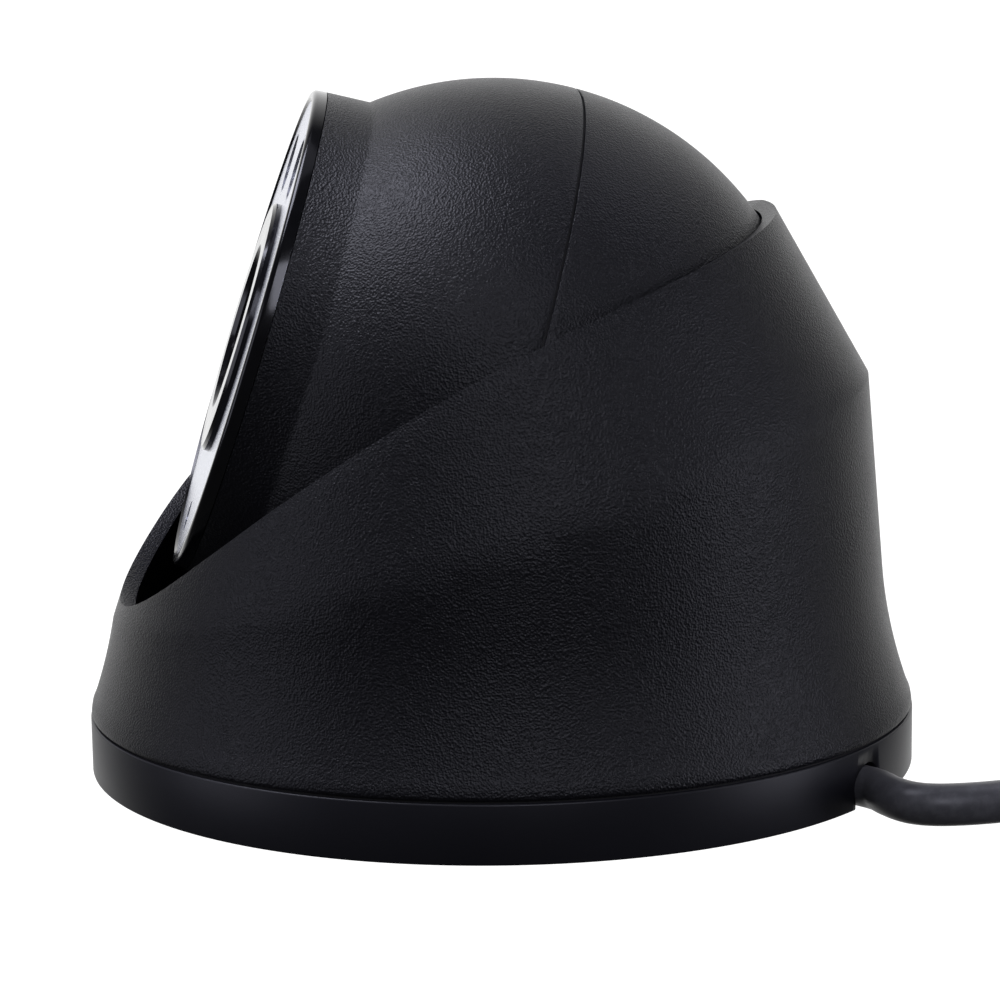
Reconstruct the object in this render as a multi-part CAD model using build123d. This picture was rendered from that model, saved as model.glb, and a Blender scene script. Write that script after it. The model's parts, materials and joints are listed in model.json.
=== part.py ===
from build123d import *
from math import cos, pi, radians, sin, sqrt, tan
import os

# Turret CCTV camera that stands on a round mounting base.  Millimetres, +Z up, origin at the
# centre of the base's underside, lens towards -Y.  The cover pans on the base about Z, the
# yoke tilts in the cover about X, and the ball rolls in the yoke about the lens axis.

# mounting base
BASE_R = 55.0
BASE_H = 7.44
BASE_WALL = 2.6
FLOOR_T = 2.0
COLLAR_R = 49.6
COLLAR_T = 1.6
COLLAR_TOP = 11.75
POST_PCD = 93.2
POST_R = 2.4
POST_ANGLES = (84.5, 204.5, 324.5)
MOUNT_PCD = 80.0
MOUNT_HOLE_R = 2.25
MOUNT_ANGLES = (114.5, 234.5, 354.5)
SCREW_R = 1.5

# pan cover
COVER_Z = 7.7
DRAFT_R, DRAFT = 52.93, 0.0776            # wall radius is DRAFT_R - DRAFT * z above the foot
FLANGE_Z = (10.0, 11.6)
FLANGE_R = COLLAR_R + 0.05
RIDGE_Z, RIDGE_SLOPE = 36.2, 0.312        # ridge plane is z = RIDGE_Z + RIDGE_SLOPE * y
RIM_TILT, RIM_LIFT, RIM_R = 22.7, 9.8, 44.2
RIM_WALL = 2.13
SCOOP_TURN = 9.5                          # the scoop's heading is turned this far from the lens's
SWING_R, SWING_X = 48.0, 33.8             # space kept for the lens collar as the ball tilts

# ball and lens
BALL_R, BALL_WALL = 42.75, 2.35
BALL_C = Vector(0, -0.5, 47.4)
TILT, BALL_TURN = 18.2, 4.5                # how far the lens looks up, and towards +X
SEAM_D = (1.95, 2.25)
CREASE_D, RIM_D, RIM_D_R = 27.2, 34.8, 32.4
BEZEL_D = 33.0
PLATE_D = (32.5, 34.5)
HOOD_D = 35.5
BACK_D = -35.3
LED_PCD_R, LED_SPREAD = 24.0, 23.0
SHELL_SCREW_R, SHELL_SCREW_ANGLES = 36.5, (-90, -30, -150)

# yoke
YOKE_R, YOKE_T, YOKE_W = 43.05, 1.0, 9.0
PIN_R = 2.0
HUB_R = 4.95

# lead
LEAD_D = 5.2
NOTCH_ANGLE, NOTCH_W, NOTCH_TOP = 54.5, 6.2, 5.5
COIL_C = (10.0, 108.0)
COIL_R, COIL_PITCH, COIL_TURN = 33.0, 5.35, 818.0
FACE_TURN = 1.5                            # the lead's plan axes are turned by this about Z

tilt_dir = Vector(1, 0, 0).rotate(Axis.Z, BALL_TURN)
lens_dir = Vector(0, -cos(radians(TILT)), sin(radians(TILT))).rotate(Axis.Z, BALL_TURN)
ball_frame = Plane(origin=BALL_C, x_dir=tilt_dir, z_dir=lens_dir).location
parts = {}


def tube(r_out, r_in, low, high):
    ring = Circle(r_out) - Circle(r_in)
    return Pos(0, 0, low) * extrude(ring, high - low)


def rod(r, low, high, x=0.0, y=0.0):
    return Pos(x, y, low) * extrude(Circle(r), high - low)


def turned(*outline):
    """Solid of revolution about Z of a closed outline of (radius, height) points."""
    wire = Polyline(*[(r, 0, z) for r, z in outline], close=True)
    return revolve(make_face(wire), Axis.Z)


def around(r, angles, solid):
    return [Rot(0, 0, a) * Pos(r, 0, 0) * solid for a in angles]


def grouped(solids, place=Location()):
    return Compound([place * s.solid() for s in solids])


# ---------------------------------------------------------------- mounting base

def notch(width, top, near, far, low=-1.0):
    """Arch-topped passage through the base wall, cut along the direction of the lead."""
    half = width / 2
    outline = Polyline((-half, top - half), (-half, low), (half, low), (half, top - half))
    outline += ThreePointArc((half, top - half), (0, top), (-half, top - half))
    section = Plane(origin=(near, 0, 0), x_dir=(0, 1, 0), z_dir=(1, 0, 0)) * make_face(outline)
    return Rot(0, 0, NOTCH_ANGLE) * extrude(section, far - near)


def mounting_base():
    base = rod(BASE_R, 0, FLOOR_T) + tube(BASE_R, BASE_R - BASE_WALL, FLOOR_T, BASE_H)
    base += tube(COLLAR_R, COLLAR_R - COLLAR_T, FLOOR_T, COLLAR_TOP)
    for post in around(POST_PCD / 2, POST_ANGLES, rod(POST_R, FLOOR_T, COLLAR_TOP)):
        base += post
    for hole in around(POST_PCD / 2, POST_ANGLES, rod(SCREW_R, FLOOR_T + 2, COLLAR_TOP + 1)):
        base -= hole
    for hole in around(MOUNT_PCD / 2, MOUNT_ANGLES, rod(MOUNT_HOLE_R, -1, FLOOR_T + 1)):
        base -= hole
    return base - notch(NOTCH_W, NOTCH_TOP, 41, 57)


def glide_ring():
    return tube(BASE_R - 0.5, BASE_R - 2.3, BASE_H, COVER_Z - 0.03)


RETAINER_Z = (COLLAR_TOP, 13.1)
HEAD_R, HEAD_T = 2.6, 1.0


def pan_retainer():
    ring = tube(51.0, 44.0, *RETAINER_Z)
    for hole in around(POST_PCD / 2, POST_ANGLES, rod(SCREW_R, RETAINER_Z[0] - 1, RETAINER_Z[1])):
        ring -= hole
    for sink in around(POST_PCD / 2, POST_ANGLES, rod(HEAD_R, RETAINER_Z[1] - HEAD_T, RETAINER_Z[1] + 1)):
        ring -= sink
    return ring


def retainer_screws():
    screw = rod(SCREW_R, 5.0, RETAINER_Z[1] - HEAD_T)
    screw += rod(HEAD_R - 0.05, RETAINER_Z[1] - HEAD_T, RETAINER_Z[1])
    screw -= rod(0.9, RETAINER_Z[1] - 0.6, RETAINER_Z[1] + 1)
    return grouped(around(POST_PCD / 2, POST_ANGLES, screw))


# ---------------------------------------------------------------- lead and its hardware

def plan(x, y, z=LEAD_D / 2):
    """A point of the lead's plan, which is turned a little from the row's axes."""
    a = radians(FACE_TURN)
    return Vector(x * cos(a) + y * sin(a), -x * sin(a) + y * cos(a), z)


def cord_tube(points, name):
    runs = [(b - a).length for a, b in zip(points, points[1:])]
    turns = [(b - a).get_angle(c - b) for a, b, c in zip(points, points[1:], points[2:])]
    radii = [0.45 * min(p, q) / tan(radians(t) / 2) for p, q, t in zip(runs, runs[1:], turns)]
    path = FilletPolyline(*points, radius=radii)
    section = Plane(origin=path @ 0, z_dir=path % 0) * Circle(LEAD_D / 2)
    solid = sweep(section, path=path)
    print(name, "radii", [round(r, 1) for r in radii], "length", round(path.length, 1),
          "volume over section", round(solid.volume / (pi * LEAD_D**2 / 4), 1))
    return solid


def notch_point(r):
    a = radians(NOTCH_ANGLE)
    return Vector(r * cos(a), r * sin(a), LEAD_D / 2)


LEAD_ROUTE = [
    notch_point(46.4),
    notch_point(55.6),
    plan(37.4, 48.0),
    plan(40.6, 51.2),
    plan(40.3, 57.5),
    plan(37.6, 66.0),
    plan(37.2, 76.0),
    plan(39.4, 86.0),
    plan(41.8, 95.0),
    plan(42.7, 103.4),
]

TAIL_ROUTE = [
    plan(13.0, 129.1, 5.0),
    plan(5.5, 129.2, 7.0),
    plan(-1.0, 129.0, 8.3),
    plan(-8.0, 129.2, 8.8),
    plan(-18.0, 129.8, 8.7),
    plan(-26.0, 130.0, 5.2),
    plan(-33.5, 129.6, 2.9),
    plan(-41.0, 128.6, 3.4),
    plan(-48.0, 127.4, 4.2),
]


def lead_coil():
    inner = COIL_R - COIL_PITCH * COIL_TURN / 360 - LEAD_D / 2
    centre = plan(*COIL_C)
    return Pos(centre.X, centre.Y, 0) * tube(COIL_R + LEAD_D / 2, inner, 0, LEAD_D + 0.1)


def lead_grommet():
    body = notch(NOTCH_W - 0.06, NOTCH_TOP - 0.03, 50.4, 53.4, low=0.8)
    return body - Rot(0, 0, NOTCH_ANGLE) * Pos(50, 0, LEAD_D / 2) * Rot(0, 90, 0) * rod(LEAD_D / 2, 0, 5)


CLAMP_SCREW_Y = 6.0


def lead_clamp():
    clamp = Pos(44.6, 0, 5.0) * Box(5.6, 17, 6.0)
    clamp = fillet(clamp.edges().filter_by(Axis.Z), 1.2)
    clamp -= Pos(46.4, 0, LEAD_D / 2) * Rot(0, 90, 0) * rod(LEAD_D / 2, 0, 5)
    for side in (-1, 1):
        clamp -= rod(SCREW_R, 1, 9, 44.6, side * CLAMP_SCREW_Y)
    return Rot(0, 0, NOTCH_ANGLE) * clamp


def clamp_screws():
    solids = []
    for side in (-1, 1):
        screw = rod(SCREW_R, FLOOR_T, 8.0, 44.6, side * CLAMP_SCREW_Y)
        screw += rod(HEAD_R, 8.0, 9.8, 44.6, side * CLAMP_SCREW_Y)
        solids.append(Rot(0, 0, NOTCH_ANGLE) * screw)
    return grouped(solids)


PLUG_START = TAIL_ROUTE[-1]
PLUG_AXIS = (TAIL_ROUTE[-1] - TAIL_ROUTE[-2]).normalized()
plug_frame = Plane(origin=PLUG_START, x_dir=PLUG_AXIS.cross(Vector(0, 0, 1)), z_dir=PLUG_AXIS).location
NUT_R = 7.0


def plug_boot():
    return plug_frame * turned((0, 0), (3.4, 0), (4.2, 3), (4.6, 13), (0, 13))


def plug_shell():
    shell = turned((0, 13), (5.2, 13), (5.6, 14), (5.6, 25), (4.9, 25), (4.9, 34), (4.2, 34), (4.2, 28),
                   (0, 28))
    return plug_frame * shell


def plug_nut():
    nut = tube(NUT_R, 5.0, 25.3, 35.5) - tube(NUT_R + 1, NUT_R - 0.5, 27, 27.6)
    nut += turned((4.95, 25.3), (5.3, 25.3), (5.3, 26.3), (4.95, 26.3))
    for i in range(24):
        nut -= Rot(0, 0, i * 15) * rod(0.35, 28.2, 36, NUT_R)
    return plug_frame * nut


def plug_insert():
    insert = rod(4.15, 28, 31)
    for angle in (45, 135, 225, 315):
        insert += Rot(0, 0, angle) * rod(0.5, 31, 33.6, 2.2)
    return plug_frame * insert


# ---------------------------------------------------------------- pan cover

def band(rim_r, rise_out, side_out):
    """Tapering skirt between the tilted rim circle and a larger ellipse low in the body.

    rise_out and side_out are the ridge ellipse's half-axes, in the plane of symmetry and
    along X.  The straight generators run on past the ridge, to reach times their length.
    """
    reach = 3.2
    rim_v = Vector(0, cos(radians(RIM_TILT)), sin(radians(RIM_TILT)))
    rim_n = Vector(0, -rim_v.Z, rim_v.Y)
    rim_c = BALL_C + rim_n * RIM_LIFT
    slope = sqrt(1 + RIDGE_SLOPE**2)
    ridge_v = Vector(0, 1 / slope, RIDGE_SLOPE / slope)
    ridge_c = Vector(0, -1.21, RIDGE_Z - RIDGE_SLOPE * 1.21)
    low_c = rim_c + (ridge_c - rim_c) * reach
    low_v = rim_v * (rim_r * (1 - reach)) + ridge_v * (rise_out * reach)
    low_x = rim_r * (1 - reach) + side_out * reach
    low_plane = Plane(origin=low_c, x_dir=low_v, z_dir=Vector(1, 0, 0).cross(low_v))
    rim_plane = Plane(origin=rim_c, x_dir=rim_v, z_dir=rim_n)
    return loft([low_plane * Ellipse(low_v.length, low_x), rim_plane * Circle(rim_r)], ruled=True)


def above_curve(ends, stations, x_low, x_high):
    """Everything above a side-view curve between two values of X."""
    curve = Spline(ends[0], *stations, ends[1])
    outline = curve + Polyline(ends[0], (ends[0][0], 95), (ends[1][0], 95), ends[1])
    return Pos(x_low, 0, 0) * extrude(make_face(Plane.YZ * outline), x_high - x_low, dir=(1, 0, 0))


def front_cut():
    """The scoop: a turned dip, a lower far flank, and room for the lens collar's swing."""
    dip = above_curve([(-58, 13.6), (46, 76.3)],
                      [(-52, 21.5), (-47, 27.15), (-41, 33.4), (-33, 40.7), (-22, 48.95), (-9, 56.6),
                       (6, 63.25), (20, 68.1), (34, 72.5)], -70, 70)
    flank = above_curve([(-44, 35.3), (-4, 56.9)], [(-38.5, 36.6), (-33, 39.9), (-26, 44.4), (-16, 50.3)],
                        -70, -5)
    swing = Pos(*BALL_C) * Sphere(SWING_R) & Pos(0, -50, 50) * Box(2 * SWING_X, 80, 70)
    return Rot(0, 0, SCOOP_TURN) * dip + flank + swing


def cover_skin():
    top = 75.0
    outline = Line((0, COVER_Z), (54.9, COVER_Z)) + Line((54.9, COVER_Z), (54.85, 8.3))
    outline += ThreePointArc((54.85, 8.3), (54.68, 9.2), (54.3, 10.0))
    outline += ThreePointArc((54.3, 10.0), (52.15, 16.9), (DRAFT_R - DRAFT * 26, 26))
    outline += Polyline((DRAFT_R - DRAFT * 26, 26), (DRAFT_R - DRAFT * top, top), (0, top), (0, COVER_Z))
    body = revolve(make_face(Plane.XZ * outline), Axis.Z)
    return body & band(RIM_R, 52.53, 50.135)


def cover_hollow():
    hollow = turned((0, 7), (52.6, 7), (52.6, FLANGE_Z[0]), (FLANGE_R, FLANGE_Z[0]), (FLANGE_R, FLANGE_Z[1]),
                    (51.3, FLANGE_Z[1]), (51.3, 13.7), (50.75, 14.4), (50.3, 17), (49.4, 20), (48.6, 27),
                    (46.4, 56), (45.0, 75), (0, 75))
    return hollow & band(RIM_R - RIM_WALL, 50.3, 47.9)


LOCK_Z = 14.6
LOCK_R = 1.4
WASHER_X = (44.25, 44.8)


def tilt_side(side):
    """Frame on the tilt axis, with +Z out of one side of the ball."""
    return Pos(BALL_C) * Rot(0, 0, BALL_TURN) * Rot(0, side * 90, 0)


def pan_cover():
    below_rim = Pos(0, 0, 52.8 - 60) * Box(120, 120, 120)
    hollow = Pos(*BALL_C) * Sphere(BALL_R + 0.4) + (Pos(*BALL_C) * Sphere(YOKE_R + YOKE_T + 0.4) & below_rim)
    cover = cover_skin() - cover_hollow() - hollow - front_cut()
    for side in (-1, 1):
        bore = tilt_side(side) * (rod(PIN_R, 40, 46.2) + rod(3.8, 40, WASHER_X[1]))
        cover -= bore
    return cover - Pos(0, -46, LOCK_Z) * Rot(90, 0, 0) * rod(LOCK_R, 0, 12)


def lock_screw():
    screw = rod(LOCK_R, 50.4, 52.2)
    screw -= Pos(0, 0, 51.4) * extrude(RegularPolygon(0.8, 6), 2)
    return Pos(0, 0, LOCK_Z) * Rot(90, 0, 0) * screw


def dust_shield():
    return turned((32.5, 13.5), (50.3, 13.5), (50.3, 16.4), (49.5, 16.4), (49.5, 14.3), (32.5, 14.3))


def tilt_pin(side):
    return tilt_side(side) * rod(PIN_R, 43.0, 46.2)


def friction_washer(side):
    return tilt_side(side) * tube(3.6, PIN_R, *WASHER_X)


# ---------------------------------------------------------------- tilt yoke (lens frame)

PLATE_BACK = (-37.3, -36.3)


def tilt_yoke():
    shell = Sphere(YOKE_R + YOKE_T) - Sphere(YOKE_R)
    strap = Pos(0, 0, (PLATE_BACK[0]) / 2) * Box(100, YOKE_W, -PLATE_BACK[0])
    eyes = Rot(0, 90, 0) * rod(YOKE_W / 2, -50, 50)
    body = shell & (strap + eyes)
    plate = Pos(0, 0, sum(PLATE_BACK) / 2) * Box(100, YOKE_W, 1.0) + rod(9.5, *PLATE_BACK)
    body += plate & Sphere(YOKE_R + YOKE_T)
    body -= Rot(0, 90, 0) * rod(PIN_R + 0.05, -50, 50)
    return ball_frame * (body - rod(HUB_R + 0.05, -40, -30))


# ---------------------------------------------------------------- ball (lens frame)

def rear_shell():
    shell = Sphere(BALL_R) & Pos(0, 0, (SEAM_D[0] + BACK_D) / 2) * Box(100, 100, SEAM_D[0] - BACK_D)
    inside = -BACK_D - 2.3
    hollow = Sphere(BALL_R - BALL_WALL) & Pos(0, 0, 5 - inside / 2) * Box(100, 100, inside + 10)
    shell -= hollow
    for boss in around(SHELL_SCREW_R, SHELL_SCREW_ANGLES, rod(4.2, -24, -2.6)):
        shell += boss & Sphere(BALL_R)
    shell -= rod(41.35, -2.6, 3)
    for hole in around(SHELL_SCREW_R, SHELL_SCREW_ANGLES, rod(2.9, -40, -7) + rod(SCREW_R + 0.1, -8, 2)):
        shell -= hole
    hub = tube(HUB_R, 3.2, -41.0, BACK_D + 0.5)
    return ball_frame * (shell - rod(3.2, -40, -30) + hub)


def front_shell():
    """Front half with the lens collar, which tapers from the crease to the bezel."""
    crease_r = sqrt(BALL_R**2 - CREASE_D**2)
    cup = Sphere(BALL_R) & Pos(0, 0, (SEAM_D[1] + CREASE_D) / 2) * Box(100, 100, CREASE_D - SEAM_D[1])
    taper = (crease_r - RIM_D_R) / (RIM_D - CREASE_D)
    bezel_r = crease_r - taper * (BEZEL_D - CREASE_D)
    cup += turned((0, CREASE_D), (crease_r, CREASE_D), (bezel_r, BEZEL_D), (0, BEZEL_D))
    cup -= Sphere(BALL_R - BALL_WALL) & Box(100, 100, 52)
    cup -= rod(28.5, 20, 29) + rod(31.0, 28.0, 40)
    cup += tube(41.3, 39.9, -2.5, 3.0)
    for boss in around(SHELL_SCREW_R, SHELL_SCREW_ANGLES, rod(3.7, -2.5, 10)):
        cup += boss
    for hole in around(SHELL_SCREW_R, SHELL_SCREW_ANGLES, rod(SCREW_R, -3, 8)):
        cup -= hole
    return ball_frame * cup


def shell_seal():
    return ball_frame * tube(42.35, 41.3, *SEAM_D)


def shell_screws():
    screw = rod(SCREW_R, -7, 8) + rod(2.75, -9, -7)
    screw -= rod(1.0, -10, -8.2)
    return grouped(around(SHELL_SCREW_R, SHELL_SCREW_ANGLES, screw), ball_frame)


def bezel_ring():
    taper = (sqrt(BALL_R**2 - CREASE_D**2) - RIM_D_R) / (RIM_D - CREASE_D)
    back_r = RIM_D_R + taper * (RIM_D - BEZEL_D)
    ring = turned((31.0, BEZEL_D + 0.04), (back_r, BEZEL_D + 0.04), (RIM_D_R + 0.06, RIM_D - 0.55),
                  (RIM_D_R - 0.5, RIM_D), (31.3, RIM_D), (31.0, RIM_D - 0.3))
    return ball_frame * ring


def led_places():
    for side in (-1, 1):
        a = radians(90 + side * LED_SPREAD)
        yield LED_PCD_R * cos(a), LED_PCD_R * sin(a)


SENSOR_Y = -26.0
BOSS_R = 16.85


def reflector_plate():
    plate = rod(30.95, *PLATE_D) - rod(BOSS_R + 0.02, 30, 36)
    for x, y in led_places():
        plate -= rod(4.5, 30, 36, x, y)
    return ball_frame * (plate - rod(2.0, 30, 36, 0, SENSOR_Y))


def lens_hood():
    hood = turned((7.3, 27.0), (9.0, 27.0), (9.0, 29.3), (BOSS_R, 29.3), (BOSS_R, HOOD_D - 0.4),
                  (BOSS_R - 0.4, HOOD_D), (11.2, HOOD_D), (10.6, HOOD_D - 0.6), (9.6, 29.6), (7.3, 29.6))
    return ball_frame * hood


def led_reflector(x, y):
    cup = turned((3.0, 29.3), (3.4, 29.3), (4.45, PLATE_D[0]), (4.45, PLATE_D[1]), (4.1, PLATE_D[1]),
                 (3.0, 29.9))
    return ball_frame * Pos(x, y, 0) * cup


def ir_led(x, y):
    led = rod(2.5, 29.2, 30.6) + Pos(0, 0, 30.6) * Sphere(2.3)
    return ball_frame * Pos(x, y, 0) * (led & rod(2.6, 29.2, 34))


def light_sensor():
    cap = Pos(0, SENSOR_Y, 32.2) * Sphere(1.5) & rod(1.6, 32, 34, 0, SENSOR_Y)
    return ball_frame * (rod(1.9, 29.2, 32.4, 0, SENSOR_Y) + cap)


def led_board():
    return ball_frame * tube(30.6, 17.2, 28.0, 29.2)


def lens_window():
    return ball_frame * rod(7.25, 27.4, 28.6)


def lens_barrel():
    barrel = turned((4.6, 9), (6.0, 9), (6.0, 21), (6.6, 21), (6.6, 26.6), (5.4, 26.6), (5.4, 24.4),
                    (4.6, 24.4))
    return ball_frame * barrel


def front_element():
    dome = rod(5.35, 24.45, 25.4) + (Pos(0, 0, 19.8) * Sphere(7.6) & rod(5.0, 25.3, 30))
    return ball_frame * dome


def lens_mount():
    mount = Pos(0, 0, 11.0) * Box(15, 15, 8) - rod(6.05, 8.9, 16) - Pos(0, 0, 7.9) * Box(11, 11, 2.2)
    return ball_frame * mount


def ir_cut_filter():
    return ball_frame * Pos(0, 0, 8.2) * Box(8, 8, 0.8)


def image_sensor():
    return ball_frame * Pos(0, 0, 5.9) * Box(9, 7, 1.8)


MAIN_D = (3.4, 5.0)
POWER_D = (-10.0, -8.4)
SPACER_R, SPACER_ANGLES = 26.0, (45, 135, 225, 315)


def main_board():
    board = rod(31.0, *MAIN_D)
    board += Pos(13, 6, MAIN_D[0] - 0.6) * Box(10, 10, 1.2) + Pos(-14, 12, MAIN_D[0] - 0.5) * Box(8, 6, 1.0)
    for hole in around(SPACER_R, SPACER_ANGLES, rod(SCREW_R, 0, 8)):
        board -= hole
    return ball_frame * board


def heat_spreader():
    plate = Pos(13, 6, MAIN_D[0] - 2.2) * Box(14, 14, 2.0)
    for i in range(5):
        plate += Pos(7.4 + 2.8 * i, 6, MAIN_D[0] - 4.7) * Box(1.0, 14, 3.2)
    return ball_frame * plate


def power_board():
    board = rod(29.0, *POWER_D)
    board += rod(3.2, -16.5, POWER_D[0], 8, -8) + Pos(-9, 6, POWER_D[0] - 2.5) * Box(9, 9, 5)
    for hole in around(SPACER_R, SPACER_ANGLES, rod(SCREW_R, -12, -6)):
        board -= hole
    return ball_frame * board


def board_spacers():
    solids = around(SPACER_R, SPACER_ANGLES, rod(2.5, MAIN_D[1], 26.0))
    solids += around(SPACER_R, SPACER_ANGLES, tube(2.5, SCREW_R, POWER_D[1], MAIN_D[0]))
    return grouped(solids, ball_frame)


def board_screws():
    screw = rod(SCREW_R, POWER_D[0], MAIN_D[1]) + rod(2.6, POWER_D[0] - 1.8, POWER_D[0])
    return grouped(around(SPACER_R, SPACER_ANGLES, screw), ball_frame)


def harness_plug():
    return ball_frame * (Pos(-6, -12, POWER_D[0] - 3.0) * Box(12, 6, 6))


def hub_washer():
    return ball_frame * tube(8.0, HUB_R + 0.1, -38.0, PLATE_BACK[0] - 0.1)


def swivel_nut():
    nut = extrude(RegularPolygon(7.6, 6), 2.4) - Pos(0, 0, -1) * extrude(Circle(HUB_R), 5)
    return ball_frame * Pos(0, 0, -40.4) * nut


# ---------------------------------------------------------------- assembly

parts["mounting_base"] = mounting_base()
parts["glide_ring"] = glide_ring()
parts["pan_retainer"] = pan_retainer()
parts["retainer_screws"] = retainer_screws()
parts["lead"] = cord_tube(LEAD_ROUTE, "lead")
parts["lead_coil"] = lead_coil()
parts["lead_tail"] = cord_tube(TAIL_ROUTE, "lead_tail")
parts["lead_grommet"] = lead_grommet()
parts["lead_clamp"] = lead_clamp()
parts["clamp_screws"] = clamp_screws()
parts["plug_boot"] = plug_boot()
parts["plug_shell"] = plug_shell()
parts["plug_nut"] = plug_nut()
parts["plug_insert"] = plug_insert()
parts["pan_cover"] = pan_cover()
parts["lock_screw"] = lock_screw()
parts["dust_shield"] = dust_shield()
parts["tilt_yoke"] = tilt_yoke()
parts["rear_shell"] = rear_shell()
parts["front_shell"] = front_shell()
parts["shell_seal"] = shell_seal()
parts["shell_screws"] = shell_screws()
parts["bezel_ring"] = bezel_ring()
parts["reflector_plate"] = reflector_plate()
parts["lens_hood"] = lens_hood()
parts["lens_window"] = lens_window()
parts["lens_barrel"] = lens_barrel()
parts["front_element"] = front_element()
parts["lens_mount"] = lens_mount()
parts["ir_cut_filter"] = ir_cut_filter()
parts["image_sensor"] = image_sensor()
parts["main_board"] = main_board()
parts["heat_spreader"] = heat_spreader()
parts["power_board"] = power_board()
parts["board_spacers"] = board_spacers()
parts["board_screws"] = board_screws()
parts["harness_plug"] = harness_plug()
parts["light_sensor"] = light_sensor()
parts["led_board"] = led_board()
parts["hub_washer"] = hub_washer()
parts["swivel_nut"] = swivel_nut()
for hand, side in (("left", -1), ("right", 1)):
    parts[f"tilt_pin_{hand}"] = tilt_pin(side)
    parts[f"friction_washer_{hand}"] = friction_washer(side)
for hand, (x, y) in zip(("right", "left"), led_places()):
    parts[f"ir_led_{hand}"] = ir_led(x, y)
    parts[f"led_reflector_{hand}"] = led_reflector(x, y)

os.makedirs("parts", exist_ok=True)
for name, shape in parts.items():
    export_step(shape, f"parts/{name}.step")
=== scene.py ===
import json
from math import asin, atan2, cos, degrees, pi, radians, sin, sqrt

import bmesh
import bpy
from mathutils import Matrix, Vector


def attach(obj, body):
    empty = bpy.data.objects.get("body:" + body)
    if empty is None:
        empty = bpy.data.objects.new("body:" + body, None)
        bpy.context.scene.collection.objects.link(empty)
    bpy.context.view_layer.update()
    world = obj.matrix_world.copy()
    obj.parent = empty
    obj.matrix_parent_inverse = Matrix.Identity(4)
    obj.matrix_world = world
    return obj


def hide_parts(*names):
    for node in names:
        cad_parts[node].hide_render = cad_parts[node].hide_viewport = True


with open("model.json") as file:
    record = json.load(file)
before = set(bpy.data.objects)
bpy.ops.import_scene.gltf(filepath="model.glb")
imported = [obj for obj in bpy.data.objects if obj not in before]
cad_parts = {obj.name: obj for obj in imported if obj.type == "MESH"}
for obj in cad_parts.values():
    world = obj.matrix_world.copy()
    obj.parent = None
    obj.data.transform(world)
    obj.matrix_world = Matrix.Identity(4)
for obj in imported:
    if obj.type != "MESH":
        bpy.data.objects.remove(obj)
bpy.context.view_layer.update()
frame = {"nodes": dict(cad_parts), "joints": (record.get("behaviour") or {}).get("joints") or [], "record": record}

MM = 0.001
UP = Vector((0, 0, 1))

# Sizes are in millimetres. The frame gives the ball's centre, the tilt axis and the lens axis.
joints = {j["name"]: j for j in frame["joints"]}
BALL_C = Vector(joints["tilt"]["pos_m"]) / MM
LENS = Vector(joints["roll"]["axis"]).normalized()

BASE_R, BASE_TOP, BASE_INSIDE_R, FLOOR_T = 55.0, 7.44, 52.4, 2.0
COLLAR_R, COLLAR_IN_R, COLLAR_TOP = 49.6, 48.0, 11.75
MOUNT_R, MOUNT_HOLE_R, MOUNT_TURNS = 40, 2.25, (114.5, 234.5, 354.5)
NOTCH_TURN, NOTCH_W, NOTCH_TOP = radians(54.5), 6.2, 5.5

# The cover's wall has a radius of DRAFT_R - DRAFT * z above its foot. The ridge and the rim are
# planes that rise towards the back.
COVER_Z, FLARE_Z, FLARE_R, DRAFT_FROM_Z = 7.7, 10.0, 54.3, 26.0
DRAFT_R, DRAFT = 52.93, 0.0776
RIDGE_Z, RIDGE_SLOPE = 36.2, 0.312
RIDGE_C, RIDGE_HALF_X, RIDGE_HALF_Y = Vector((0, -1.21, RIDGE_Z - RIDGE_SLOPE * 1.21)), 50.135, 52.53
RIM_TILT, RIM_LIFT, RIM_R, RIM_WALL = radians(22.7), 9.8, 44.2, 2.13
LOCK_Z, LOCK_R = 14.6, 1.4
SWING_R, SWING_X, SWING_Y = 48.0, 33.8, -10

# Distances named _D are along the lens axis from the ball's centre.
BALL_R, BALL_WALL, BACK_D = 42.75, 2.35, -35.3
CREASE_D, RIM_D, RIM_D_R, BEZEL_D = 27.2, 34.8, 32.4, 33.0
BEZEL_IN_R = 31.0
SEAM_D = (1.95, 2.25)

LEAD_D, CORD_LENGTH = 5.2, 0.52
COIL_X, COIL_Y, COIL_R, COIL_PITCH, COIL_START, COIL_TURN = 10.0, 108.0, 33.0, 5.35, 262.0, 818.0


def lens_frame():
    """Local +Z along the lens axis, +X along the tilt axis, origin at the ball's centre."""
    x_axis = -Vector(joints["tilt"]["axis"])
    turn = Matrix((x_axis, LENS.cross(x_axis), LENS)).transposed().to_4x4()
    return Matrix.Translation(BALL_C * MM) @ turn


BALL = lens_frame()


# ---------------------------------------------------------------- camera and light

FACE_TURN = radians(1.5)
RIGHT = Vector((sin(FACE_TURN), cos(FACE_TURN), 0))
AWAY = Vector((-cos(FACE_TURN), sin(FACE_TURN), 0))


def make_camera():
    """A long lens at the object's side, a little above it and rolled very slightly."""
    rise, roll, distance = radians(9.409), radians(-0.815), 382.7
    back = UP * sin(rise) - AWAY * cos(rise)
    over = UP * cos(rise) + AWAY * sin(rise)
    x_axis = RIGHT * cos(roll) + over * sin(roll)
    y_axis = over * cos(roll) - RIGHT * sin(roll)
    place = (RIGHT * 0.17 + UP * 34.24 + back * distance) * MM
    data = bpy.data.cameras.new("camera")
    data.lens, data.sensor_width = 103.0, 36.0
    data.clip_start, data.clip_end = 0.01, 20.0
    camera = bpy.data.objects.new("camera", data)
    bpy.context.scene.collection.objects.link(camera)
    camera.matrix_world = Matrix.Translation(place) @ Matrix((x_axis, y_axis, back)).transposed().to_4x4()
    bpy.context.scene.camera = camera


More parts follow.
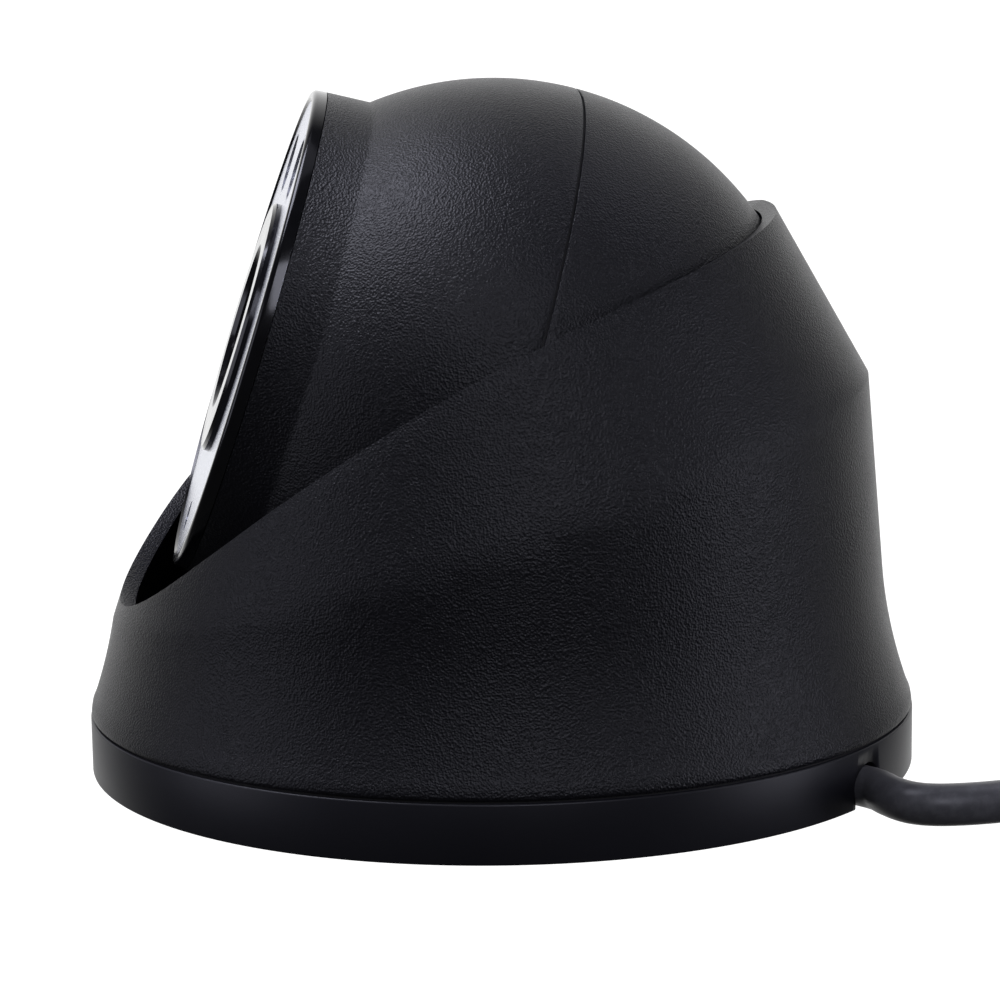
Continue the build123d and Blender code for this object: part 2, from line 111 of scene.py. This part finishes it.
def softbox(name, place, aim, size, power, tint=(1, 1, 1)):
    data = bpy.data.lights.new(name, "AREA")
    data.shape, data.size, data.size_y = "RECTANGLE", size[0], size[1]
    data.energy, data.color = power, tint
    lamp = bpy.data.objects.new(name, data)
    bpy.context.scene.collection.objects.link(lamp)
    lamp.location = place
    lamp.rotation_mode = "QUATERNION"
    lamp.rotation_quaternion = (Vector(place) - Vector(aim)).to_track_quat("Z", "Y")


def make_studio():
    """Soft lights around the object, placed by the camera's own directions RIGHT and AWAY."""
    middle = UP * 0.045
    cool = (0.93, 0.94, 1.1)
    softbox("overhead", AWAY * 0.05 - RIGHT * 0.05 + UP * 0.80, middle, (0.4, 0.4), 0.15, cool)
    softbox("key_left", AWAY * 0.04 - RIGHT * 0.38 + UP * 0.72, middle, (0.42, 0.40), 3.4, cool)
    softbox("key_right", AWAY * 0.16 + RIGHT * 0.38 + UP * 0.64, middle, (0.28, 0.28), 0.4, cool)
    softbox("low_left", RIGHT * -0.60 - AWAY * 0.15 + UP * 0.12, middle, (0.3, 0.4), 0.42, cool)
    softbox("low_right", RIGHT * 0.60 - AWAY * 0.15 + UP * 0.12, middle, (0.2, 0.4), 0.7, cool)
    softbox("front_fill", UP * 0.45 - AWAY * 0.70 + RIGHT * 0.10, middle, (0.3, 0.3), 1.1, cool)
    bpy.context.scene.view_settings.view_transform = "Standard"


def make_world():
    """White where the camera sees it; as a light, bright behind the object and dim elsewhere."""
    world = bpy.data.worlds.new("studio")
    world.use_nodes = True
    tree = world.node_tree
    background = tree.nodes["Background"]
    background.inputs["Color"].default_value = (1.0, 1.0, 1.0, 1)
    heading = tree.nodes.new("ShaderNodeVectorMath")
    heading.operation = "DOT_PRODUCT"
    heading.inputs[1].default_value = AWAY
    tree.links.new(tree.nodes.new("ShaderNodeTexCoord").outputs["Generated"], heading.inputs[0])
    spread = tree.nodes.new("ShaderNodeMapRange")
    for name, value in (("From Min", 0.5), ("From Max", 0.95), ("To Min", 0.035), ("To Max", 1.2)):
        spread.inputs[name].default_value = value
    tree.links.new(heading.outputs["Value"], spread.inputs["Value"])
    seen = tree.nodes.new("ShaderNodeMath")
    seen.operation = "MAXIMUM"
    tree.links.new(tree.nodes.new("ShaderNodeLightPath").outputs["Is Camera Ray"], seen.inputs[0])
    tree.links.new(spread.outputs["Result"], seen.inputs[1])
    tree.links.new(seen.outputs["Value"], background.inputs["Strength"])
    bpy.context.scene.world = world


# ---------------------------------------------------------------- materials

class Socket:
    """An output of a finish's node tree; arithmetic on it adds Math nodes."""

    def __init__(self, finish, output):
        self.finish, self.output = finish, output

    def math(self, operation, first, second):
        return self.finish.add("ShaderNodeMath", {"operation": operation}, {0: first, 1: second})

    def __add__(self, other):
        return self.math("ADD", self, other)

    def __mul__(self, other):
        return self.math("MULTIPLY", self, other)


class Finish:
    """A material: one Principled shader, with nodes added by add() and joined by feed()."""

    def __init__(self, name, **fixed):
        self.material = bpy.data.materials.new(name)
        self.material.use_nodes = True
        self.tree = self.material.node_tree
        self.shader = self.tree.nodes["Principled BSDF"]
        self.place = self.add("ShaderNodeTexCoord", {}, {}, "Object")
        for key, value in fixed.items():
            self.feed(key.replace("_", " "), value)

    def add(self, kind, settings, inputs, output=0):
        node = self.tree.nodes.new(kind)
        for key, value in settings.items():
            setattr(node, key, value)
        for key, value in inputs.items():
            self.join(node.inputs[key], value)
        return Socket(self, node.outputs[output])

    def join(self, socket, value):
        if isinstance(value, Socket):
            self.tree.links.new(value.output, socket)
        elif socket.type == "RGBA" and len(value) == 3:
            socket.default_value = (*value, 1)
        else:
            socket.default_value = value

    def feed(self, name, value):
        self.join(self.shader.inputs[name], value)

    def noise(self, scale, detail=2.0, rough=0.5, place=None):
        return self.add("ShaderNodeTexNoise", {}, {"Vector": place or self.place, "Scale": scale,
                                                   "Detail": detail, "Roughness": rough})

    def ramp(self, value, low, high, out_low=0.0, out_high=1.0):
        return self.add("ShaderNodeMapRange", {}, {"Value": value, "From Min": low, "From Max": high,
                                                   "To Min": out_low, "To Max": out_high})

    def mix(self, amount, first, second):
        return self.add("ShaderNodeMix", {"data_type": "RGBA"}, {0: amount, 6: first, 7: second}, 2)

    def bump(self, height, distance, strength=1.0):
        self.feed("Normal", self.add("ShaderNodeBump", {}, {"Height": height, "Distance": distance,
                                                            "Strength": strength}))


def grained_black():
    """Black ABS with a fine leathery moulded grain and faint handling sheen."""
    finish = Finish("grained_black", Specular_IOR_Level=0.4)
    cells = finish.add("ShaderNodeTexVoronoi", {"feature": "SMOOTH_F1"},
                       {"Vector": finish.place, "Scale": 3400.0, "Smoothness": 0.5})
    fine = finish.noise(5200.0, 2.0, 0.6)
    broad = finish.noise(60.0, 3.0, 0.5)
    grain = cells * 0.7 + fine * 0.5
    finish.feed("Base Color", finish.mix(finish.ramp(fine, 0.35, 0.7), (0.0022, 0.0022, 0.0042),
                                         (0.0050, 0.0050, 0.0082)))
    finish.feed("Roughness", finish.ramp(broad, 0.3, 0.7, 0.33, 0.38) + fine * 0.05)
    finish.bump(grain, 0.00012, 1.0)
    return finish.material


def satin_black():
    """Smoother black ABS: only a trace of texture and soft sheen."""
    finish = Finish("satin_black", Specular_IOR_Level=0.4)
    fine = finish.noise(5200.0, 2.0, 0.5)
    broad = finish.noise(45.0, 3.0, 0.5)
    finish.feed("Base Color", finish.mix(broad, (0.011, 0.011, 0.015), (0.015, 0.015, 0.020)))
    finish.feed("Roughness", finish.ramp(broad, 0.3, 0.7, 0.36, 0.44))
    finish.bump(fine, 0.00003, 0.3)
    return finish.material


def gloss_black():
    finish = Finish("gloss_black", IOR=1.5)
    wear = finish.noise(300.0, 4.0, 0.6)
    finish.feed("Base Color", finish.mix(wear, (0.004, 0.004, 0.005), (0.008, 0.008, 0.010)))
    finish.feed("Roughness", finish.ramp(wear, 0.3, 0.8, 0.10, 0.18))
    return finish.material


def plain(name, dark, light, rough, scale=200.0, metallic=0.0, height=0.00002):
    """Any simple moulded or plated part: two close tones, uneven polish and a faint surface."""
    finish = Finish(name, Metallic=metallic)
    spots = finish.noise(scale, 4.0, 0.6)
    finish.feed("Base Color", finish.mix(spots, dark, light))
    finish.feed("Roughness", finish.ramp(spots, 0.3, 0.7, rough, rough + 0.12))
    finish.bump(spots, height, 0.4)
    return finish.material


def silver_paint():
    """Satin silver of the reflector plate, with fine flake."""
    finish = Finish("silver_paint", Metallic=0.85)
    flake = finish.noise(9000.0, 1.0, 0.5)
    finish.feed("Base Color", finish.mix(flake, (0.50, 0.52, 0.60), (0.80, 0.82, 0.90)))
    finish.feed("Roughness", finish.ramp(flake, 0.3, 0.7, 0.20, 0.32))
    finish.bump(flake, 0.00001, 0.3)
    return finish.material


def brushed(name, tone, rough):
    """Plated steel with fine lines along X."""
    finish = Finish(name, Metallic=1.0)
    stretched = finish.add("ShaderNodeMapping", {}, {"Vector": finish.place, "Scale": (60, 2200, 2200)})
    lines = finish.noise(1.0, 3.0, 0.6, stretched)
    dark = tuple(0.8 * c for c in tone)
    finish.feed("Base Color", finish.mix(lines, dark, tone))
    finish.feed("Roughness", finish.ramp(lines, 0.3, 0.7, rough, rough + 0.15))
    return finish.material


def glass(name, tint, rough=0.02):
    finish = Finish(name, Transmission_Weight=1.0, IOR=1.5)
    smear = finish.noise(120.0, 3.0, 0.6)
    finish.feed("Base Color", tint)
    finish.feed("Roughness", finish.ramp(smear, 0.4, 0.8, rough, rough + 0.04))
    return finish.material


def circuit_board():
    """Green solder mask with paler tracks on a fine grid."""
    finish = Finish("circuit_board")
    tracks = finish.add("ShaderNodeTexVoronoi", {"feature": "DISTANCE_TO_EDGE"},
                        {"Vector": finish.place, "Scale": 420.0})
    lines = finish.ramp(tracks, 0.02, 0.08)
    finish.feed("Base Color", finish.mix(lines, (0.04, 0.22, 0.08), (0.01, 0.09, 0.03)))
    finish.feed("Roughness", finish.ramp(lines, 0.0, 1.0, 0.25, 0.4))
    finish.bump(lines, 0.00003, 0.4)
    return finish.material


def cable_black():
    """Black PVC sheath: satin, with a faint drawn texture and dust."""
    finish = Finish("cable_black", IOR=1.5)
    dust = finish.noise(700.0, 4.0, 0.65)
    drawn = finish.noise(2600.0, 2.0, 0.5)
    finish.feed("Base Color", finish.mix(finish.ramp(dust, 0.45, 0.8), (0.09, 0.09, 0.097),
                                         (0.14, 0.14, 0.15)))
    finish.feed("Roughness", finish.ramp(dust, 0.3, 0.8, 0.34, 0.5))
    finish.bump(drawn, 0.00003, 0.35)
    return finish.material


finishes = {
    "black_abs": grained_black(),
    "base_abs": satin_black(),
    "gloss_black": gloss_black(),
    "black_nylon": plain("black_nylon", (0.02, 0.02, 0.021), (0.035, 0.035, 0.036), 0.45),
    "black_rubber": plain("black_rubber", (0.008, 0.008, 0.008), (0.018, 0.018, 0.018), 0.6),
    "cable_pvc": cable_black(),
    "zinc_steel": brushed("zinc_steel", (0.62, 0.63, 0.66), 0.25),
    "black_steel": plain("black_steel", (0.012, 0.012, 0.013), (0.03, 0.03, 0.032), 0.3, 900.0, 0.8),
    "black_metal": plain("black_metal", (0.006, 0.006, 0.007), (0.014, 0.014, 0.015), 0.35, 900.0, 0.6),
    "nickel": brushed("nickel", (0.72, 0.70, 0.66), 0.12),
    "silver_plate": silver_paint(),
    "aluminium": brushed("aluminium", (0.8, 0.81, 0.83), 0.3),
    "window_glass": glass("window_glass", (0.25, 0.25, 0.3)),
    "lens_glass": glass("lens_glass", (0.6, 0.65, 0.9)),
    "circuit_board": circuit_board(),
    "chip_black": plain("chip_black", (0.01, 0.01, 0.011), (0.02, 0.02, 0.021), 0.5, 900.0),
    "connector_white": plain("connector_white", (0.66, 0.66, 0.6), (0.8, 0.8, 0.75), 0.4, 300.0),
}


def finish_cad_nodes():
    """Every carried-over piece takes the finish that the record names for it."""
    for part in frame["record"]["subparts"]:
        node = frame["nodes"][part["node"]]
        material = finishes[part["material_slot"]]
        if not node.material_slots:
            node.data.materials.append(material)
        for slot in node.material_slots:
            slot.material = material


# ---------------------------------------------------------------- modelling helpers

def piece_from(mesh, name, slot, body, *replaced, sharp=35):
    """Closes a bmesh into a piece: normals out, smooth but for its sharp edges."""
    bmesh.ops.recalc_face_normals(mesh, faces=mesh.faces[:])
    data = bpy.data.meshes.new(name)
    mesh.to_mesh(data)
    mesh.free()
    data.set_sharp_from_angle(angle=radians(sharp))
    data.shade_smooth()
    data.set_sharp_from_angle(angle=radians(sharp))
    piece = bpy.data.objects.new(name, data)
    bpy.context.scene.collection.objects.link(piece)
    data.materials.append(finishes[slot])
    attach(piece, body)
    if replaced:
        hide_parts(*replaced)
    return piece


def spun(outline, place=Matrix.Identity(4), steps=192):
    """A closed outline of (radius, height) points in millimetres, spun about local Z."""
    mesh = bmesh.new()
    verts = [mesh.verts.new((r * MM, 0, z * MM)) for r, z in outline]
    edges = [mesh.edges.new(pair) for pair in zip(verts, verts[1:] + verts[:1])]
    bmesh.ops.spin(mesh, geom=verts + edges, cent=(0, 0, 0), axis=(0, 0, 1), angle=2 * pi, steps=steps,
                   use_merge=True)
    bmesh.ops.remove_doubles(mesh, verts=mesh.verts[:], dist=1e-7)
    bmesh.ops.transform(mesh, matrix=place, verts=mesh.verts[:])
    return mesh


def soften(mesh, width, angle=40, segments=3):
    """Rounds every edge sharper than the angle by the width in millimetres."""
    bmesh.ops.recalc_face_normals(mesh, faces=mesh.faces[:])
    edges = [e for e in mesh.edges if e.is_manifold and e.calc_face_angle(0) > radians(angle)]
    bmesh.ops.bevel(mesh, geom=edges, offset=width * MM, offset_type="OFFSET", segments=segments,
                    profile=0.5, affect="EDGES", material=-1, clamp_overlap=True)
    return mesh


def arc(radius, start, end, count, centre=(0.0, 0.0)):
    """Points of an arc in an outline, from one angle to another in degrees."""
    angles = [radians(start + (end - start) * i / (count - 1)) for i in range(count)]
    return [(centre[0] + radius * cos(a), centre[1] + radius * sin(a)) for a in angles]


def cut(piece, tool_mesh):
    """Takes a bmesh solid out of a piece and keeps the result as its mesh."""
    bmesh.ops.recalc_face_normals(tool_mesh, faces=tool_mesh.faces[:])
    data = bpy.data.meshes.new("tool")
    tool_mesh.to_mesh(data)
    tool_mesh.free()
    tool = bpy.data.objects.new("tool", data)
    bpy.context.scene.collection.objects.link(tool)
    taken = piece.modifiers.new("cut", "BOOLEAN")
    taken.operation, taken.object, taken.solver = "DIFFERENCE", tool, "EXACT"
    done = bpy.data.meshes.new_from_object(piece.evaluated_get(bpy.context.evaluated_depsgraph_get()))
    piece.modifiers.clear()
    piece.data = done
    bpy.data.objects.remove(tool)


# ---------------------------------------------------------------- mounting base

def notch_tool(near, far):
    """Arch-topped bar through the base's wall where the lead leaves."""
    half = NOTCH_W / 2
    outline = [(-half, -1), (half, -1)] + arc(half, 0, 180, 13, (0, NOTCH_TOP - half))
    mesh = bmesh.new()
    verts = [mesh.verts.new((near * MM, y * MM, z * MM)) for y, z in outline]
    face = mesh.faces.new(verts)
    grown = bmesh.ops.extrude_face_region(mesh, geom=[face])
    moved = [v for v in grown["geom"] if isinstance(v, bmesh.types.BMVert)]
    bmesh.ops.translate(mesh, verts=moved, vec=((far - near) * MM, 0, 0))
    bmesh.ops.transform(mesh, matrix=Matrix.Rotation(NOTCH_TURN, 4, "Z"), verts=mesh.verts[:])
    return mesh


def make_base():
    """Ring wall, floor and centring collar of the base, with softly broken edges."""
    outline = [(BASE_R, 0), (BASE_R, BASE_TOP), (BASE_INSIDE_R, BASE_TOP), (BASE_INSIDE_R, FLOOR_T),
               (COLLAR_R, FLOOR_T), (COLLAR_R, COLLAR_TOP), (COLLAR_IN_R, COLLAR_TOP),
               (COLLAR_IN_R, FLOOR_T), (0, FLOOR_T), (0, 0)]
    mesh = soften(spun(outline, steps=256), 0.25)
    piece = piece_from(mesh, "base_body", "base_abs", "base", "mounting_base")
    cut(piece, notch_tool(41, 57))
    for turn in MOUNT_TURNS:
        hole = spun([(0, -1), (MOUNT_HOLE_R, -1), (MOUNT_HOLE_R, 3), (0, 3)], steps=32)
        place = Matrix.Rotation(radians(turn), 4, "Z") @ Matrix.Translation((MOUNT_R * MM, 0, 0))
        bmesh.ops.transform(hole, matrix=place, verts=hole.verts[:])
        cut(piece, hole)


# ---------------------------------------------------------------- pan cover

def foot_outline():
    """Half section of the cover's wall, from its foot up past the ridge."""
    points = [(54.72, COVER_Z), (54.9, COVER_Z + 0.2), (54.86, 8.3), (54.7, 9.1), (FLARE_R, FLARE_Z)]
    r_top = DRAFT_R - DRAFT * DRAFT_FROM_Z
    for i in range(1, 15):
        share = i / 14
        z = FLARE_Z + (DRAFT_FROM_Z - FLARE_Z) * share
        points.append((r_top + (FLARE_R - r_top) * flare_left(share), z))
    return points + [(DRAFT_R - DRAFT * z, z) for z in range(30, 60, 4)]


def flare_left(share):
    """Part of the foot's flare that is left at a share of the way up it."""
    straight = DRAFT * (DRAFT_FROM_Z - FLARE_Z) / (FLARE_R - (DRAFT_R - DRAFT * DRAFT_FROM_Z))
    return straight * (1 - share) + (1 - straight) * (1 - share) ** 2


# Stations of (y, height) along the scoop in side view, and along its lower far flank.
DIP = ((-58, 13.6), (-52, 21.5), (-47, 27.15), (-41, 33.4), (-33, 40.7), (-22, 48.95), (-9, 56.6),
       (6, 63.25), (20, 68.1), (34, 72.5), (46, 76.3))
FLANK = ((-44, 35.3), (-38.5, 36.6), (-33, 39.9), (-26, 44.4), (-16, 50.3), (-4, 56.9))
SCOOP_TURN = radians(9.5)


def along(stations, y):
    """Height of a smooth curve through stations of (y, height)."""
    i = next((i for i in range(len(stations) - 1) if y <= stations[i + 1][0]), len(stations) - 2)
    (y0, z0), (y1, z1) = stations[i], stations[i + 1]
    before, after = stations[max(i - 1, 0)], stations[min(i + 2, len(stations) - 1)]
    t = (y - y0) / (y1 - y0)
    slope0 = (z1 - before[1]) / (y1 - before[0]) * (y1 - y0)
    slope1 = (after[1] - z0) / (after[0] - y0) * (y1 - y0)
    return ((2 * t**3 - 3 * t**2 + 1) * z0 + (t**3 - 2 * t**2 + t) * slope0
            + (3 * t**2 - 2 * t**3) * z1 + (t**3 - t**2) * slope1)


def dip_height(point):
    """Height of the scoop above a point: a turned dip, and a lower flank on the far side."""
    height = along(DIP, point.y * cos(SCOOP_TURN) - point.x * sin(SCOOP_TURN))
    if point.x < -5 and -44 < point.y < -4:
        height = min(height, along(FLANK, point.y))
    return height


RIM_V = Vector((0, cos(RIM_TILT), sin(RIM_TILT)))
RIM_N = Vector((0, -sin(RIM_TILT), cos(RIM_TILT)))
RIM_C = BALL_C + RIM_N * RIM_LIFT


def rim_point(ridge_point):
    """Top end of the straight line that leaves the ridge at this point, both in millimetres."""
    away = ridge_point - RIDGE_C
    along_slope = sqrt(away.y**2 + away.z**2) * (1 if away.y > 0 else -1)
    t = atan2(away.x / RIDGE_HALF_X, along_slope / RIDGE_HALF_Y)
    top = RIM_C + Vector((RIM_R * sin(t), 0, 0)) + RIM_V * (RIM_R * cos(t))
    low, high = 0.0, 1.0
    if top.z <= dip_height(top):
        return top
    for _ in range(30):
        middle = (low + high) / 2
        point = top.lerp(ridge_point, middle)
        low, high = (middle, high) if point.z > dip_height(point) else (low, middle)
    return top.lerp(ridge_point, high)


def make_cover():
    """Spun wall cut at the ridge plane, then drawn up in straight lines to the dipped rim."""
    mesh = bmesh.new()
    outline = foot_outline()
    verts = [mesh.verts.new((r * MM, 0, z * MM)) for r, z in outline]
    edges = [mesh.edges.new(pair) for pair in zip(verts, verts[1:])]
    bmesh.ops.spin(mesh, geom=verts + edges, cent=(0, 0, 0), axis=(0, 0, 1), angle=2 * pi, steps=256,
                   use_merge=True)
    bmesh.ops.remove_doubles(mesh, verts=mesh.verts[:], dist=1e-7)
    normal = Vector((0, -RIDGE_SLOPE, 1)).normalized()
    bmesh.ops.bisect_plane(mesh, geom=mesh.verts[:] + mesh.edges[:] + mesh.faces[:], dist=1e-6,
                           plane_co=(0, 0, RIDGE_Z * MM), plane_no=normal, clear_outer=True)
    ridge = [e for e in mesh.edges if e.is_boundary and e.verts[0].co.z > 0.015]
    grown = bmesh.ops.extrude_edge_only(mesh, edges=ridge)
    for vert in (v for v in grown["geom"] if isinstance(v, bmesh.types.BMVert)):
        vert.co = rim_point(vert.co / MM) * MM
    upper = [e for e in mesh.edges if e.is_manifold and len(e.verts[0].link_edges) > 1 and is_generator(e)]
    bmesh.ops.subdivide_edges(mesh, edges=upper, cuts=5, use_grid_fill=True)
    bmesh.ops.recalc_face_normals(mesh, faces=mesh.faces[:])
    bmesh.ops.solidify(mesh, geom=mesh.faces[:], thickness=RIM_WALL * MM)
    soften(mesh, 0.42, 50, 4)
    piece = piece_from(mesh, "cover_shell", "black_abs", "cover", "pan_cover", sharp=60)
    hole = spun([(0, 44), (LOCK_R, 44), (LOCK_R, 58), (0, 58)], steps=32)
    place = Matrix.Translation((0, 0, LOCK_Z * MM)) @ Matrix.Rotation(pi / 2, 4, "X")
    bmesh.ops.transform(hole, matrix=place, verts=hole.verts[:])
    cut(piece, hole)
    cut(piece, swing_room())


def swing_room():
    """The space that the lens collar sweeps as the ball tilts."""
    mesh = bmesh.new()
    bmesh.ops.create_uvsphere(mesh, u_segments=192, v_segments=96, radius=SWING_R * MM)
    bmesh.ops.translate(mesh, verts=mesh.verts[:], vec=BALL_C * MM)
    for point, outward in (((-SWING_X, 0, 0), (-1, 0, 0)), ((SWING_X, 0, 0), (1, 0, 0)),
                           ((0, SWING_Y, 0), (0, 1, 0))):
        bmesh.ops.bisect_plane(mesh, geom=mesh.verts[:] + mesh.edges[:] + mesh.faces[:], dist=1e-7,
                               plane_co=Vector(point) * MM, plane_no=outward, clear_outer=True)
        bmesh.ops.holes_fill(mesh, edges=[e for e in mesh.edges if e.is_boundary])
    return mesh


def is_generator(edge):
    """True for the long edges that climb from the ridge to the rim."""
    low, high = sorted((v.co for v in edge.verts), key=lambda c: c.z)
    ridge_gap = abs(low.z - (RIDGE_Z * MM + RIDGE_SLOPE * low.y))
    high_gap = high.z - (RIDGE_Z * MM + RIDGE_SLOPE * high.y)
    return ridge_gap < 2e-5 and high_gap > 5e-4


# ---------------------------------------------------------------- ball

def make_rear_shell():
    """Back half of the ball, from its hub face to the seam."""
    inner = BALL_R - BALL_WALL
    top = degrees(asin(SEAM_D[0] / BALL_R))
    outline = arc(BALL_R, -55.7, top, 48) + arc(inner, top, -54.8, 40) + [(0, -33.0), (0, BACK_D)]
    mesh = soften(spun(outline, BALL), 0.12, 40, 2)
    return piece_from(mesh, "rear_dome", "black_abs", "ball", "rear_shell")


def collar_taper():
    """Radius at the crease, and how fast the lens collar narrows from there to its rim."""
    crease_r = sqrt(BALL_R**2 - CREASE_D**2)
    return crease_r, (crease_r - RIM_D_R) / (RIM_D - CREASE_D)


def make_front_shell():
    """Front half of the ball: dome, lens collar, inner ledge, and spigot into the rear half."""
    inner = BALL_R - BALL_WALL
    low = degrees(asin(SEAM_D[1] / BALL_R))
    crease = degrees(asin(CREASE_D / BALL_R))
    crease_r, taper = collar_taper()
    outline = arc(BALL_R, low, crease, 30)
    outline += [(crease_r - taper * (BEZEL_D - CREASE_D), BEZEL_D), (BEZEL_IN_R, BEZEL_D),
                (BEZEL_IN_R, 28.0), (28.5, 28.0), (28.5, 26.0)]
    outline += arc(inner, 40.0, low, 20)
    outline += [(41.3, SEAM_D[1]), (41.3, -2.5), (39.9, -2.5), (39.9, SEAM_D[1] - 0.15)]
    mesh = soften(spun(outline, BALL), 0.12, 40, 2)
    return piece_from(mesh, "front_dome", "black_abs", "ball", "front_shell")


def make_bezel():
    """Gloss ring at the collar's mouth, rounded outside and chamfered inside."""
    back_r = RIM_D_R + collar_taper()[1] * (RIM_D - BEZEL_D)
    outline = [(BEZEL_IN_R, BEZEL_D + 0.1), (back_r, BEZEL_D + 0.1)]
    outline += arc(0.7, 5, 85, 6, (RIM_D_R - 0.66, RIM_D - 0.7))
    outline += [(BEZEL_IN_R + 0.25, RIM_D), (BEZEL_IN_R, RIM_D - 0.3)]
    return piece_from(spun(outline, BALL), "bezel", "gloss_black", "ball", "bezel_ring")


# ---------------------------------------------------------------- lead

# Plan points of the lead before and after its coil, the second with their heights.
LEAD_OUT = ((37.4, 48.0), (40.6, 51.2), (40.3, 57.5), (37.6, 66.0), (37.2, 76.0), (39.4, 86.0), (41.8, 95.0))
LEAD_TAIL = ((13.0, 129.1, 5.0), (5.5, 129.2, 7.0), (-1.0, 129.0, 8.3), (-8.0, 129.2, 8.8),
             (-18.0, 129.8, 8.7), (-26.0, 130.0, 5.2), (-33.5, 129.6, 2.9), (-41.0, 128.6, 3.4),
             (-48.0, 127.4, 4.2))
COIL_STEP = 24.0


def coil_points():
    """Control points of the flat coil, set out a little so that the curve runs at its radius."""
    for i in range(1, int(COIL_TURN / COIL_STEP)):
        wound = COIL_STEP * i
        reach = (COIL_R - COIL_PITCH * wound / 360) / cos(radians(COIL_STEP / 2))
        a = radians(COIL_START + wound)
        yield plan(COIL_X - reach * sin(a), COIL_Y + reach * cos(a))


def make_cord():
    """The lead: out of the notch, round to the side, into a flat coil, and off it to the plug."""
    points = [notch_point(46.4), notch_point(55.6)]
    points += [plan(*p) for p in LEAD_OUT]
    points += coil_points()
    points += [plan(*p) for p in LEAD_TAIL]
    curve = bpy.data.curves.new("lead_cable", "CURVE")
    curve.dimensions = "3D"
    curve.bevel_depth = LEAD_D / 2 * MM
    curve.bevel_resolution = 8
    curve.resolution_u = 12
    curve.use_fill_caps = True
    spline = curve.splines.new("NURBS")
    spline.points.add(len(points) - 1)
    for vert, point in zip(spline.points, points):
        vert.co = (*point, 1)
    spline.order_u = 3
    spline.use_endpoint_u = True
    cable = bpy.data.objects.new("lead_cable", curve)
    bpy.context.scene.collection.objects.link(cable)
    curve.materials.append(finishes["cable_pvc"])
    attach(cable, "base")
    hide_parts("lead", "lead_coil", "lead_tail")


def plan(x, y, z=LEAD_D / 2):
    """A point of the lead's plan, which is turned a little from the row's axes."""
    return (Vector((cos(FACE_TURN), -sin(FACE_TURN), 0)) * x + RIGHT * y + UP * z) * MM


def notch_point(r):
    """A point in the middle of the notch, this far from the base's axis."""
    return Vector((r * cos(NOTCH_TURN), r * sin(NOTCH_TURN), LEAD_D / 2)) * MM


make_camera()
make_cord()
make_studio()
make_world()
finish_cad_nodes()
make_base()
make_cover()
make_rear_shell()
make_front_shell()
make_bezel()
